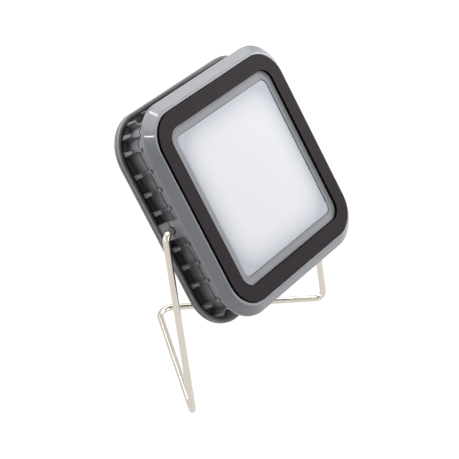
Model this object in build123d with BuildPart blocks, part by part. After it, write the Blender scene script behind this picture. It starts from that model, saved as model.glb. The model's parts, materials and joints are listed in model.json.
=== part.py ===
from build123d import *
import os
from math import atan, atan2, cos, degrees, radians, sin

# A square cordless LED work light on a bent-wire stand. Millimetres, +Z up, the lamp faces -Y.
# The origin is on the floor, under the middle of the light's bounding box.
# The head is drawn in its own plane, HEAD: x to the right as seen from in front, y up the face,
# z out of the face, with the tilt axis through its origin. The case splits on z = 0.

# ---------------------------------------------------------------- driving dimensions
TILT = 35.0                 # how far the face looks up from level
WIRE = 4.5                  # stand wire diameter
LEG_X = 80.8                # centreline of each leg from the middle, at the tilt axis
FOOT_X = 82.3               # and at the floor, where the legs are sprung a little outwards
PIVOT_RISE = 129.0          # tilt axis above the wire's centreline on the floor
FOOT_FORWARD = 25.4         # front bends ahead of the tilt axis
APEX_BACK = 63.8            # corner of the rear bend behind the tilt axis
BEND = 5.0                  # centreline radius of the wire's tight bends
APEX_BEND = 11.0

HALF = 75.0                 # half width of the case
CORNER = 27.0               # outer corner radius of the case
CHANNEL_HALF = 67.1         # wall at the bottom of the ribbed channel
WALL = 2.3
SEAM = 0.2                  # visible joint line between the two case halves

FACE = 19.6                 # front plane of the trim ring
LIP = 17.9                  # bezel lip
LIP_LAND = 1.65             # flat top of the lip, measured out from the trim ring
RIM = 13.6                  # widest edge of the bezel
SKIRT = 11.5                # lower edge of the bezel skirt
RIM_ROUND = 1.0
LIP_ROUND = 0.4
THICK_WALL = (3.0, 0.5)     # channel wall of the bezel is thicker from this height, by this much
TAB = (3.0, 2.0, 2.6)       # tab over each rib at the joint line: height, width, reach from inside
TAB_RISE = 1.6              # middle of the tabs above the joint line
FLANGE_TOP = -9.8
FLANGE_BOTTOM = -12.0
FLANGE_ROUND = 0.8
COVER_TOP = -12.4
BACK = -15.8
BACK_ROUND = 2.9
COVER_WALL = 2.0

RING_HALF = 67.75
RING_CORNER = 21.0
RING_OPENING = 56.5
RING_OPENING_CORNER = 9.5
RING_SEAT = 16.7
RING_EDGE = 0.5

FRAME_HALF = 56.3
FRAME_CORNER = 9.3
FRAME_TOP = 17.7
LENS_HALF = 50.9            # opening in the lens frame
LENS_CORNER = 5.2
LENS_LEDGE = 15.4
STACK_HALF = 53.6           # LED board, reflector and lens flange
STACK_CORNER = 7.0
SPREADER_BOTTOM = 7.0
BOARD_BOTTOM = 9.0
BOARD_TOP = 10.6
REFLECTOR_TOP = 13.6
FLANGE_CLAMP = 11.8         # lower face of the lens frame's clamping flange
PLATE_BOTTOM = 14.4         # lower face of the bezel's front plate
PLATE_GAP = 0.7             # round the lens frame in the front plate

RIB_PITCH = 13.1
RIB_HEIGHT = 4.7
RIB_STEP = -2.4             # where the tall part of a rib ends
RIB_WAIST = -6.2
RIB_HALF_WIDTHS = (1.7, 1.15, 0.95)     # at the flange, the waist and the step
FIN_FOOT = 0.9              # the fin above the step reaches this far at the joint line
FIN_CURVE = 3.2
FIN_HALF_WIDTH = 0.55
GROOVE_SEAL = (0.6, 0.7, 0.9)           # seal groove: inset outside, inset inside, depth
BOSS_HALF_WIDTH = 5.85
BOSS_FACE = 73.2
BOSS_INNER = 59.0
BOSS_INNER_RISE = 6.5
BORE_R = 2.8
BUSH_R = 3.8
BUSH_OUTER = 71.0
FIT = 0.05                  # radial running clearance of the wire in its bushes
WIRE_TIP = 60.0

LED_COUNT = 6
LED_PITCH = 16.0
LED_SIZE = 5.0

CASE_SCREW = 57.6           # corner screws between the case halves
CASE_POST_R = 3.8
CASE_SEAT = -10.2           # head seat of the case screws
COVER_SCREW = (61.3, 42.0)
COVER_POST_R = 4.0
COVER_POST_TOP = -3.0
SPREADER_SCREW = (62.2, 32.0)
SPREADER_POST_R = 2.8
BOARD_SCREW = 48.0
PILOT_R = 1.3               # pilot holes for the case and cover screws
SMALL_PILOT_R = 1.1
CLEARANCE_R = 1.6           # shank clearance holes
PILOT_END = 0.6             # material left past a pilot hole

CELL_R = 9.2
CELL_LENGTH = 65.0
CELL_PITCH = 19.6
CELL_Z = -3.8
CELL_Y = -56.0              # lower end of the cells
CELLS = 4

DRIVER_Y = 37.0             # middle of the driver board
DRIVER_SIZE = (100.0, 40.0)
DRIVER_BACK = -4.0          # component side
DRIVER_FRONT = -2.4
DRIVER_SCREW = (44.0, 16.0)
BUTTON_R = 8.0
BUTTON_PROUD = 1.2
PORT_X = 34.0
GUIDE_Y = 51.0
GUIDE_PITCH = 8.0
LEAD_R = 0.8
LED_LEAD_X = 51.8           # where the LED leads rise through the spreader
LED_LEAD_Y = 37.0
BATTERY_LEAD_X = 8.0        # where the battery leads meet the tabs
FLAP = (18.0, 9.0, 1.1)     # charging port flap: length, width, thickness
FLAP_GAP = 0.2
THUMB_NOTCH = (8.0, 5.0)    # notch beside the flap
SOCKET_HOLE = (10.2, 4.2, 1.5)
BAR_HALF = 28.0             # bars inside the cover that locate it in the rear case half
BAR_DEPTH = 2.0
BAR_TOP = -10.5
GROOVES = 7                 # grip grooves across the lower back
GROOVE_PITCH = 9.5
GROOVE_LONGEST = 92.0
GROOVE_STEP = 2.0           # how much shorter each groove is than its inner neighbour
GROOVE_WIDTH = 3.0
GROOVE_DEPTH = 0.8
GROOVE_Y = -56.0            # lowest groove
PLAY = 0.1

# ---------------------------------------------------------------- derived places
UP_FACE = cos(radians(TILT))
OUT_FACE = sin(radians(TILT))
FRONT_REACH = (FACE - RING_EDGE) * UP_FACE + (RING_HALF - RING_EDGE) * OUT_FACE + RING_EDGE
APEX_HALF_ANGLE = atan2(FOOT_X, FOOT_FORWARD + APEX_BACK)
REAR_REACH = APEX_BACK - APEX_BEND * (1 / sin(APEX_HALF_ANGLE) - 1) + WIRE / 2
PIVOT = Vector(0, (FRONT_REACH - REAR_REACH) / 2, PIVOT_RISE + WIRE / 2)
HEAD = Plane(origin=PIVOT, x_dir=(1, 0, 0), z_dir=(0, -UP_FACE, OUT_FACE))
FRONT_SEAM = SEAM / 2
REAR_SEAM = -SEAM / 2
CAVITY_HALF = CHANNEL_HALF - WALL
CORNER_CENTRE = HALF - CORNER
CHANNEL_CORNER = CHANNEL_HALF - CORNER_CENTRE
CAVITY_CORNER = CAVITY_HALF - CORNER_CENTRE
RIM_TAPER = degrees(atan((HALF - RING_HALF - LIP_LAND) / (LIP - RIM)))
COVER_INSIDE = BACK + COVER_WALL

os.makedirs("parts", exist_ok=True)


# ---------------------------------------------------------------- shared helpers
def write(name, part):
    """Label one finished piece and write it to its own file."""
    part.label = name
    export_step(part, f"parts/{name}.step")


def slab(low, high, half, corner, mode=Mode.ADD, taper=0.0):
    """A rounded-square slab of the head between two heights."""
    with BuildSketch(HEAD.offset(low)) as outline:
        RectangleRounded(2 * half, 2 * half, corner)
    extrude(outline.sketch, amount=high - low, taper=taper, mode=mode)


def block(low, high, x_span, y_span, mode=Mode.ADD):
    """A plain box of the head, from its spans in x and y and its two heights."""
    middle = ((x_span[0] + x_span[1]) / 2, (y_span[0] + y_span[1]) / 2)
    with BuildSketch(HEAD.offset(low)) as outline:
        with Locations(middle):
            Rectangle(x_span[1] - x_span[0], y_span[1] - y_span[0])
    extrude(outline.sketch, amount=high - low, mode=mode)


def posts(low, high, radius, places, mode=Mode.ADD):
    """Round posts of the head, or round holes with mode=Mode.SUBTRACT."""
    with BuildSketch(HEAD.offset(low)) as outline:
        with Locations(*places):
            Circle(radius)
    extrude(outline.sketch, amount=high - low, mode=mode)


def four_ways(x, y):
    """The four mirrored places of one hole or post."""
    return [(x, y), (-x, y), (x, -y), (-x, -y)]


def eight_ways(x, y):
    """The eight places of a pair of holes on every side of a square."""
    return four_ways(x, y) + four_ways(y, x)


def loop_edges(builder, height):
    """The edges of a piece that lie at one height of the head."""
    return [edge for edge in builder.edges()
            if all(abs(HEAD.to_local_coords(v.center()).Z - height) < 1e-4 for v in edge.vertices())]


def rib_places():
    """Foot point and outward direction of every channel rib, in head coordinates."""
    places = []
    for side in range(4):
        turn = radians(90 * side)
        out = (cos(turn), sin(turn))
        for step in range(-3, 4):
            if step == 0 and side in (0, 2):
                continue
            along = step * RIB_PITCH
            places.append(((CHANNEL_HALF * out[0] - along * out[1],
                            CHANNEL_HALF * out[1] + along * out[0]), out))
        for lean in (18, 45, 72):
            turn_in = turn + radians(lean)
            ray = (cos(turn_in), sin(turn_in))
            centre = (CORNER_CENTRE * (out[0] - out[1]), CORNER_CENTRE * (out[1] + out[0]))
            places.append(((centre[0] + CHANNEL_CORNER * ray[0],
                            centre[1] + CHANNEL_CORNER * ray[1]), ray))
    return places


def rib_planes():
    """Planes on the channel wall under each rib: x out of the face, z away from the wall."""
    planes = []
    for foot, out in rib_places():
        start = HEAD.from_local_coords(Vector(foot[0] - out[0], foot[1] - out[1], 0))
        away = HEAD.x_dir * out[0] + HEAD.y_dir * out[1]
        planes.append(Plane(origin=start, x_dir=HEAD.z_dir, z_dir=away))
    return planes


def fin_planes():
    """Planes through the middle of each rib: x away from the wall, y out of the face."""
    planes = []
    for foot, out in rib_places():
        start = HEAD.from_local_coords(Vector(foot[0], foot[1], 0))
        away = HEAD.x_dir * out[0] + HEAD.y_dir * out[1]
        planes.append(Plane(origin=start, x_dir=away, z_dir=away.cross(HEAD.z_dir)))
    return planes


def pivot_bores(mode=Mode.SUBTRACT):
    """The bush seats and the narrower mouths through both pivot bosses."""
    for side in (-1, 1):
        seat_plane = Plane(origin=PIVOT + HEAD.x_dir * side * (BOSS_INNER - 1), x_dir=(0, 0, 1),
                           z_dir=HEAD.x_dir * side)
        with BuildSketch(seat_plane) as seat:
            Circle(BUSH_R)
        extrude(seat.sketch, amount=BUSH_OUTER - BOSS_INNER + 1, mode=mode)
        with BuildSketch(seat_plane) as mouth:
            Circle(BORE_R)
        extrude(mouth.sketch, amount=BOSS_FACE - BOSS_INNER + 2, mode=mode)


def screws(name, places, head_z, head_r, head_height, shank_r, shank_length, toward):
    """A set of cross-recess screws; toward is +1 when they are driven out of the face."""
    with BuildPart() as group:
        with BuildSketch(HEAD.offset(head_z)) as heads:
            with Locations(*places):
                Circle(head_r)
        extrude(heads.sketch, amount=-toward * head_height)
        fillet(loop_edges(group, head_z - toward * head_height), head_height * 0.35)
        with BuildSketch(HEAD.offset(head_z)) as shanks:
            with Locations(*places):
                Circle(shank_r)
        extrude(shanks.sketch, amount=toward * shank_length)
        with BuildSketch(HEAD.offset(head_z - toward * head_height)) as recess:
            with Locations(*places):
                Rectangle(head_r * 1.1, head_r * 0.28)
                Rectangle(head_r * 0.28, head_r * 1.1)
        extrude(recess.sketch, amount=toward * head_height * 0.55, mode=Mode.SUBTRACT)
    write(name, group.part)


# ---------------------------------------------------------------- stand
def make_wire_stand():
    """One length of round wire: tips in the pivots, legs down to the feet, a V on the floor."""
    floor = WIRE / 2
    half_route = [
        (WIRE_TIP, PIVOT.Y, PIVOT.Z),
        (LEG_X, PIVOT.Y, PIVOT.Z),
        (FOOT_X, PIVOT.Y - FOOT_FORWARD, floor),
    ]
    apex = (0, PIVOT.Y + APEX_BACK, floor)
    mirrored = [(-x, y, z) for x, y, z in reversed(half_route)]
    with BuildPart() as wire_stand:
        with BuildLine():
            FilletPolyline(*half_route, apex, *mirrored, radius=[BEND, BEND, APEX_BEND, BEND, BEND])
        with BuildSketch(Plane(origin=half_route[0], z_dir=(1, 0, 0))):
            Circle(WIRE / 2)
        sweep()
    write("wire_stand", wire_stand.part)


def make_pivot_bush(name, side):
    """A split-ring friction sleeve between a wire tip and its boss."""
    start = Plane(origin=PIVOT + HEAD.x_dir * side * BOSS_INNER, z_dir=HEAD.x_dir * side)
    with BuildPart() as bush:
        with BuildSketch(start):
            Circle(BUSH_R - FIT)
            Circle(WIRE / 2 + FIT, mode=Mode.SUBTRACT)
        extrude(amount=BUSH_OUTER - BOSS_INNER - PLAY)
    write(name, bush.part)


# ---------------------------------------------------------------- case
def add_pivot_boss(low, high, inner_low, inner_high):
    """Both pivot bosses of one case half, outside in the channel and inside the wall."""
    for side in (-1, 1):
        outside = sorted((side * (CHANNEL_HALF - WALL / 2), side * BOSS_FACE))
        inside = sorted((side * BOSS_INNER, side * CHANNEL_HALF))
        width = (-BOSS_HALF_WIDTH, BOSS_HALF_WIDTH)
        block(low, high, outside, width)
        block(inner_low, inner_high, inside, width)


def make_front_bezel():
    """Front case half: sloped rim, skirt, channel wall with tabs, ring seat and inner bosses."""
    with BuildPart() as bezel:
        slab(SKIRT, RIM, HALF, CORNER)
        slab(RIM, LIP, HALF, CORNER, taper=RIM_TAPER)
        fillet(loop_edges(bezel, RIM), RIM_ROUND)
        fillet(loop_edges(bezel, LIP), LIP_ROUND)
        slab(FRONT_SEAM, SKIRT, CHANNEL_HALF, CHANNEL_CORNER)
        slab(THICK_WALL[0], SKIRT, CHANNEL_HALF + THICK_WALL[1], CHANNEL_CORNER + THICK_WALL[1])
        with BuildSketch(*rib_planes()):
            with Locations((FRONT_SEAM + TAB_RISE, 0)):
                Rectangle(TAB[0], TAB[1])
        extrude(amount=TAB[2])
        slab(FRONT_SEAM, PLATE_BOTTOM, CAVITY_HALF, CAVITY_CORNER, mode=Mode.SUBTRACT)
        slab(RING_SEAT, LIP, RING_HALF + PLAY, RING_CORNER + PLAY, mode=Mode.SUBTRACT)
        slab(PLATE_BOTTOM, RING_SEAT, FRAME_HALF + PLATE_GAP, FRAME_CORNER + PLATE_GAP,
             mode=Mode.SUBTRACT)
        add_pivot_boss(FRONT_SEAM, SKIRT, FRONT_SEAM, BOSS_INNER_RISE)
        posts(BOARD_BOTTOM, PLATE_BOTTOM, SPREADER_POST_R, eight_ways(*SPREADER_SCREW))
        posts(BOARD_BOTTOM, PLATE_BOTTOM - PILOT_END, SMALL_PILOT_R, eight_ways(*SPREADER_SCREW),
              Mode.SUBTRACT)
        posts(FRONT_SEAM, SPREADER_BOTTOM - PLAY, CASE_POST_R, four_ways(CASE_SCREW, CASE_SCREW))
        posts(FRONT_SEAM, SPREADER_BOTTOM - PILOT_END, PILOT_R, four_ways(CASE_SCREW, CASE_SCREW),
              Mode.SUBTRACT)
        pivot_bores()
    write("front_bezel", bezel.part)


def make_rear_housing():
    """Rear case half: channel wall with its ribs, outer flange, pivot bosses and screw posts."""
    foot, waist, step = RIB_HALF_WIDTHS
    groove_out, groove_in, groove_depth = GROOVE_SEAL
    with BuildPart() as housing:
        slab(FLANGE_BOTTOM, FLANGE_TOP, HALF, CORNER)
        fillet(loop_edges(housing, FLANGE_TOP), FLANGE_ROUND)
        slab(FLANGE_TOP, REAR_SEAM, CHANNEL_HALF, CHANNEL_CORNER)
        with BuildSketch(*rib_planes()):
            with BuildLine():
                Polyline((FLANGE_TOP, -foot), (RIB_WAIST, -waist), (RIB_STEP, -step), (RIB_STEP, step),
                         (RIB_WAIST, waist), (FLANGE_TOP, foot), close=True)
            make_face()
        extrude(amount=RIB_HEIGHT + 1)
        with BuildSketch(*fin_planes()):
            with BuildLine():
                Polyline((RIB_HEIGHT - 1.2, RIB_STEP), (-1, RIB_STEP), (-1, REAR_SEAM),
                         (FIN_FOOT, REAR_SEAM))
                RadiusArc((FIN_FOOT, REAR_SEAM), (RIB_HEIGHT - 1.2, RIB_STEP), -FIN_CURVE)
            make_face()
        extrude(amount=FIN_HALF_WIDTH, both=True)
        slab(FLANGE_BOTTOM, REAR_SEAM, CAVITY_HALF, CAVITY_CORNER, mode=Mode.SUBTRACT)
        add_pivot_boss(FLANGE_TOP, REAR_SEAM, -BOSS_INNER_RISE, REAR_SEAM)
        posts(CASE_SEAT, REAR_SEAM, CASE_POST_R, four_ways(CASE_SCREW, CASE_SCREW))
        posts(CASE_SEAT, REAR_SEAM, CLEARANCE_R, four_ways(CASE_SCREW, CASE_SCREW), Mode.SUBTRACT)
        posts(FLANGE_BOTTOM, COVER_POST_TOP, COVER_POST_R, four_ways(*COVER_SCREW))
        posts(FLANGE_BOTTOM, COVER_POST_TOP - 1.0, PILOT_R, four_ways(*COVER_SCREW), Mode.SUBTRACT)
        with BuildSketch(HEAD.offset(REAR_SEAM)):
            outer = CHANNEL_HALF - groove_out
            inner = CAVITY_HALF + groove_in
            RectangleRounded(2 * outer, 2 * outer, CHANNEL_CORNER - groove_out)
            RectangleRounded(2 * inner, 2 * inner, CAVITY_CORNER + groove_in, mode=Mode.SUBTRACT)
        extrude(amount=-groove_depth, mode=Mode.SUBTRACT)
        pivot_bores()
    write("rear_housing", housing.part)


def make_case_gasket():
    """Seal in the groove of the rear case half, cut away where the pivot bushes cross it."""
    outside, inside, depth = GROOVE_SEAL
    low = REAR_SEAM - depth
    with BuildPart() as gasket:
        slab(low, REAR_SEAM, CHANNEL_HALF - outside, CHANNEL_CORNER - outside)
        slab(low, REAR_SEAM, CAVITY_HALF + inside, CAVITY_CORNER + inside, Mode.SUBTRACT)
        for side in (-1, 1):
            gap = sorted((side * CAVITY_HALF, side * CHANNEL_HALF))
            block(low, REAR_SEAM, gap, (-BUSH_R - PLAY, BUSH_R + PLAY), Mode.SUBTRACT)
    write("case_gasket", gasket.part)


def make_cover_gasket():
    """Flat black seal between the rear flange and the back cover, set in from the edge."""
    with BuildPart() as gasket:
        slab(COVER_TOP, FLANGE_BOTTOM, HALF - 1.0, CORNER - 1.0)
        slab(COVER_TOP, FLANGE_BOTTOM, CAVITY_HALF + 1.2, CAVITY_CORNER + 1.2, Mode.SUBTRACT)
    write("cover_gasket", gasket.part)


def make_rear_cover():
    """Back cover: rounded tray with locating bars, board posts, button, port and light openings."""
    port = (PORT_X, DRIVER_Y)
    guides = [(GUIDE_PITCH * (step - 1.5), GUIDE_Y) for step in range(4)]
    driver_posts = [(x, DRIVER_Y + y) for x, y in four_ways(*DRIVER_SCREW)]
    with BuildPart() as cover:
        slab(BACK, COVER_TOP, HALF, CORNER)
        fillet(loop_edges(cover, BACK), BACK_ROUND)
        slab(COVER_INSIDE, COVER_TOP, CAVITY_HALF - PLAY, CAVITY_CORNER - PLAY, Mode.SUBTRACT)
        for out_x, out_y in ((1, 0), (-1, 0), (0, 1), (0, -1)):
            inner = CAVITY_HALF - BAR_DEPTH
            outer = CAVITY_HALF - PLAY
            x_span = sorted((out_x * inner, out_x * outer)) if out_x else (-BAR_HALF, BAR_HALF)
            y_span = sorted((out_y * inner, out_y * outer)) if out_y else (-BAR_HALF, BAR_HALF)
            block(COVER_INSIDE, BAR_TOP, x_span, y_span)
        posts(COVER_INSIDE, DRIVER_BACK, 3.0, driver_posts)
        posts(COVER_INSIDE + 1.0, DRIVER_BACK, 1.05, driver_posts, Mode.SUBTRACT)
        posts(BACK, COVER_TOP, 3.6, four_ways(*COVER_SCREW))
        posts(BACK, COVER_TOP, CLEARANCE_R, four_ways(*COVER_SCREW), Mode.SUBTRACT)
        posts(BACK, BACK + 2.0, 3.1, four_ways(*COVER_SCREW), Mode.SUBTRACT)
        posts(BACK, COVER_INSIDE, BUTTON_R + FLAP_GAP, [(0, DRIVER_Y)], Mode.SUBTRACT)
        posts(BACK, COVER_INSIDE, 1.5 + FIT, guides, Mode.SUBTRACT)
        with BuildSketch(HEAD.offset(BACK)):
            with Locations(port):
                Rectangle(FLAP[0] + 2 * FLAP_GAP, FLAP[1] + 2 * FLAP_GAP)
            with Locations((PORT_X - FLAP[0] / 2 - 1.5, DRIVER_Y)):
                SlotOverall(*THUMB_NOTCH)
        extrude(amount=FLAP[2] + PLAY, mode=Mode.SUBTRACT)
        with BuildSketch(HEAD.offset(BACK)):
            with Locations(port):
                RectangleRounded(*SOCKET_HOLE)
        extrude(amount=COVER_WALL, mode=Mode.SUBTRACT)
        with BuildSketch(HEAD.offset(BACK)):
            for step in range(GROOVES):
                with Locations((0, GROOVE_Y + GROOVE_PITCH * step)):
                    SlotOverall(GROOVE_LONGEST - GROOVE_STEP * abs(step - GROOVES // 2), GROOVE_WIDTH)
        extrude(amount=GROOVE_DEPTH, mode=Mode.SUBTRACT)
    write("rear_cover", cover.part)


# ---------------------------------------------------------------- front optics
def make_trim_ring():
    """The dark ring that frames the lens."""
    with BuildPart() as ring:
        slab(RING_SEAT, FACE, RING_HALF, RING_CORNER)
        fillet(loop_edges(ring, FACE), RING_EDGE)
        slab(RING_SEAT, FACE, RING_OPENING, RING_OPENING_CORNER, Mode.SUBTRACT)
    write("trim_ring", ring.part)


def make_lens_frame():
    """Inner frame that holds the lens against the bezel plate."""
    with BuildPart() as frame:
        slab(BOARD_BOTTOM, FRAME_TOP, FRAME_HALF, FRAME_CORNER)
        slab(FLANGE_CLAMP, REFLECTOR_TOP, FRAME_HALF + 2.9, FRAME_CORNER + 2.9)
        slab(BOARD_BOTTOM, LENS_LEDGE, STACK_HALF + 0.3, STACK_CORNER + 0.3, Mode.SUBTRACT)
        slab(LENS_LEDGE, FRAME_TOP, LENS_HALF, LENS_CORNER, Mode.SUBTRACT)
    write("lens_frame", frame.part)


def make_lens_gasket():
    """Seal between the lens frame's flange and the bezel plate."""
    with BuildPart() as gasket:
        slab(REFLECTOR_TOP, PLATE_BOTTOM, FRAME_HALF + 2.7, FRAME_CORNER + 2.7)
        slab(REFLECTOR_TOP, PLATE_BOTTOM, FRAME_HALF + PLAY, FRAME_CORNER + PLAY, Mode.SUBTRACT)
    write("lens_gasket", gasket.part)


def make_diffuser():
    """Opal lens: a raised pane with a bevelled edge on a clamping flange."""
    pane_top = FRAME_TOP - 0.25
    with BuildPart() as diffuser:
        slab(REFLECTOR_TOP, LENS_LEDGE - PLAY, STACK_HALF, STACK_CORNER)
        slab(LENS_LEDGE - PLAY, pane_top, LENS_HALF - 0.3, LENS_CORNER - 0.3)
        chamfer(loop_edges(diffuser, pane_top), 0.3, 0.9)
        slab(REFLECTOR_TOP, LENS_LEDGE, LENS_HALF - 2.0, LENS_CORNER, Mode.SUBTRACT)
    write("diffuser", diffuser.part)


def led_grid(size):
    """Sketch rectangles of one size at every LED."""
    with GridLocations(LED_PITCH, LED_PITCH, LED_COUNT, LED_COUNT):
        Rectangle(size, size)


def make_reflector():
    """White tray with a window for each LED and a wall that carries the lens."""
    with BuildPart() as reflector:
        slab(BOARD_TOP + PLAY, REFLECTOR_TOP, STACK_HALF, STACK_CORNER)
        slab(BOARD_TOP + 0.8, REFLECTOR_TOP, STACK_HALF - 1.8, STACK_CORNER - 1.8, Mode.SUBTRACT)
        with BuildSketch(HEAD.offset(BOARD_TOP)):
            led_grid(LED_SIZE + 1.2)
        extrude(amount=1.0, mode=Mode.SUBTRACT)
        posts(BOARD_TOP, BOARD_TOP + 1.0, 3.2, four_ways(BOARD_SCREW, BOARD_SCREW), Mode.SUBTRACT)
    write("reflector", reflector.part)


def make_led_chips():
    """The surface-mount LEDs, one block each."""
    with BuildPart() as chips:
        with BuildSketch(HEAD.offset(BOARD_TOP)):
            led_grid(LED_SIZE)
        extrude(amount=0.9)
    write("led_chips", chips.part)


def make_led_board():
    """Aluminium-core board under the LEDs."""
    with BuildPart() as board:
        slab(BOARD_BOTTOM, BOARD_TOP, STACK_HALF, STACK_CORNER)
        posts(BOARD_BOTTOM, BOARD_TOP, CLEARANCE_R, four_ways(BOARD_SCREW, BOARD_SCREW),
              Mode.SUBTRACT)
    write("led_board", board.part)


def make_heat_spreader():
    """Aluminium plate that clamps the optics and carries the LED board's heat."""
    with BuildPart() as spreader:
        slab(SPREADER_BOTTOM, BOARD_BOTTOM, CAVITY_HALF - 0.6, CAVITY_CORNER - 0.6)
        posts(SPREADER_BOTTOM, BOARD_BOTTOM, 1.2, eight_ways(*SPREADER_SCREW), Mode.SUBTRACT)
        posts(SPREADER_BOTTOM, BOARD_BOTTOM, 1.55, four_ways(BOARD_SCREW, BOARD_SCREW),
              Mode.SUBTRACT)
        block(SPREADER_BOTTOM, BOARD_BOTTOM, (LED_LEAD_X - 1.6, LED_LEAD_X + 1.6),
              (LED_LEAD_Y - 3.0, LED_LEAD_Y + 3.0), Mode.SUBTRACT)
    write("heat_spreader", spreader.part)


# ---------------------------------------------------------------- battery
def cell_columns():
    """Middle x of each battery cell."""
    return [CELL_PITCH * (step - (CELLS - 1) / 2) for step in range(CELLS)]


def across(y, x, z):
    """A plane across the cells' length at y, with its normal up the face."""
    return Plane(origin=HEAD.from_local_coords(Vector(x, y, z)), x_dir=HEAD.x_dir, z_dir=HEAD.y_dir)


def make_battery_cells():
    """Four cylindrical lithium cells side by side, each with its raised positive cap."""
    with BuildPart() as cells:
        for column in cell_columns():
            with BuildSketch(across(CELL_Y, column, CELL_Z)) as can:
                Circle(CELL_R)
            extrude(can.sketch, amount=CELL_LENGTH - 1.2)
            with BuildSketch(across(CELL_Y, column, CELL_Z)) as cap:
                Circle(CELL_R * 0.35)
            extrude(cap.sketch, amount=CELL_LENGTH)
    write("battery_cells", cells.part)


def make_battery_tray():
    """Plastic tray on the heat spreader with a rib between neighbouring cells."""
    columns = cell_columns()
    half_width = columns[-1] + CELL_R + 2.0
    low_end = CELL_Y - 2.6
    high_end = CELL_Y + CELL_LENGTH + 2.6
    plate_low = CELL_Z + CELL_R + PLAY
    with BuildPart() as tray:
        block(plate_low, SPREADER_BOTTOM - PLAY, (-half_width, half_width), (low_end, high_end))
        for y_span in ((low_end, low_end + 1.6), (high_end - 1.6, high_end)):
            block(-10.0, plate_low, (-half_width, half_width), y_span)
        for x_span in ((-half_width, -half_width + 1.6), (half_width - 1.6, half_width)):
            block(-6.0, plate_low, x_span, (low_end, high_end))
        for left, right in zip(columns, columns[1:]):
            middle = (left + right) / 2
            block(plate_low - 4.5, plate_low, (middle - 0.7, middle + 0.7), (low_end, high_end))
        for lead in (-BATTERY_LEAD_X, BATTERY_LEAD_X):
            block(-10.0, -4.5, (lead - 1.2, lead + 1.2), (high_end - 1.6, high_end), Mode.SUBTRACT)
    write("battery_tray", tray.part)


def make_battery_tabs():
    """Nickel strips that join the cells in pairs at both ends."""
    columns = cell_columns()
    with BuildPart() as tabs:
        for first, second in ((0, 1), (2, 3)):
            x_span = (columns[first] - 4.0, columns[second] + 4.0)
            block(CELL_Z - 4.0, CELL_Z + 4.0, x_span, (CELL_Y - 0.3, CELL_Y))
            top = CELL_Y + CELL_LENGTH
            block(CELL_Z - 4.0, CELL_Z + 4.0, x_span, (top, top + 0.3))
    write("battery_tabs", tabs.part)


def lead_pair(name, routes, bend):
    """Insulated leads, each swept round straight runs joined by arcs of one radius."""
    with BuildPart() as leads:
        for route in routes:
            points = [HEAD.from_local_coords(Vector(*point)) for point in route]
            with BuildLine() as path:
                FilletPolyline(*points, radius=bend)
            with BuildSketch(Plane(origin=path.line @ 0, z_dir=path.line % 0)) as section:
                Circle(LEAD_R)
            sweep(section.sketch, path=path.line)
    write(name, leads.part)


def make_leads():
    """Battery leads to the driver board, and LED leads through the heat spreader."""
    plug_edge = DRIVER_Y - 19.5
    tab_face = CELL_Y + CELL_LENGTH + 0.3
    battery_routes = [[(side * 1.6, plug_edge, -6.0), (side * 1.6, plug_edge - 1.8, -6.0),
                       (side * BATTERY_LEAD_X, plug_edge - 4.6, -6.0),
                       (side * BATTERY_LEAD_X, tab_face, -6.0)] for side in (-1, 1)]
    lead_pair("battery_leads", battery_routes, 1.3)
    led_routes = [[(LED_LEAD_X - 2.3, LED_LEAD_Y + side * 1.2, -7.0),
                   (LED_LEAD_X, LED_LEAD_Y + side * 1.2, -7.0),
                   (LED_LEAD_X, LED_LEAD_Y + side * 1.2, BOARD_BOTTOM)] for side in (-1, 1)]
    lead_pair("led_leads", led_routes, 1.6)


# ---------------------------------------------------------------- electronics
def make_driver_board():
    """Driver and charging board on the posts of the back cover."""
    half_x, half_y = DRIVER_SIZE[0] / 2, DRIVER_SIZE[1] / 2
    holes = [(x, DRIVER_Y + y) for x, y in four_ways(*DRIVER_SCREW)]
    with BuildPart() as board:
        block(DRIVER_BACK, DRIVER_FRONT, (-half_x, half_x), (DRIVER_Y - half_y, DRIVER_Y + half_y))
        posts(DRIVER_BACK, DRIVER_FRONT, 1.4, holes, Mode.SUBTRACT)
    write("driver_board", board.part)


def on_board(name, shapes):
    """Components on the board's back: each is (x, y, width, length, height), round if length is 0."""
    with BuildPart() as group:
        for x, y, width, length, height in shapes:
            with BuildSketch(HEAD.offset(DRIVER_BACK)) as foot:
                with Locations((x, y)):
                    if length:
                        Rectangle(width, length)
                    else:
                        Circle(width / 2)
            extrude(foot.sketch, amount=-height)
    write(name, group.part)


def make_board_parts():
    """Everything soldered to the driver board except the switch and the charging socket."""
    low = DRIVER_Y - 16.0
    on_board("connectors", [(0.0, low, 8.0, 7.0, 6.0), (LED_LEAD_X - 5.8, LED_LEAD_Y, 7.0, 8.0, 6.0)])
    on_board("capacitors", [(-20.0, low + 3, 6.3, 0, 7.5), (-12.0, low + 3, 6.3, 0, 7.5)])
    on_board("driver_chips", [(12.0, low + 3, 6.0, 5.0, 1.6), (22.0, low + 3, 5.0, 4.0, 1.4),
                              (-18.0, DRIVER_Y + 13, 8.0, 5.0, 1.6)])
    on_board("indicator_leds", [(GUIDE_PITCH * (step - 1.5), GUIDE_Y, 2.0, 1.25, 0.8)
                                for step in range(4)])
    place = [(-30.0, DRIVER_Y + 4)]
    with BuildPart() as inductor:
        posts(DRIVER_BACK - 7.2, DRIVER_BACK, 4.6, place)
        posts(DRIVER_BACK - 1.2, DRIVER_BACK, 6.5, place)
        posts(DRIVER_BACK - 7.2, DRIVER_BACK - 6.0, 6.5, place)
    write("inductor", inductor.part)


def make_tact_switch():
    """Push switch under the power button."""
    with BuildPart() as switch:
        block(DRIVER_BACK - 3.5, DRIVER_BACK, (-3, 3), (DRIVER_Y - 3, DRIVER_Y + 3))
        posts(DRIVER_BACK - 4.6, DRIVER_BACK - 3.5, 1.7, [(0, DRIVER_Y)])
    write("tact_switch", switch.part)


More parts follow.
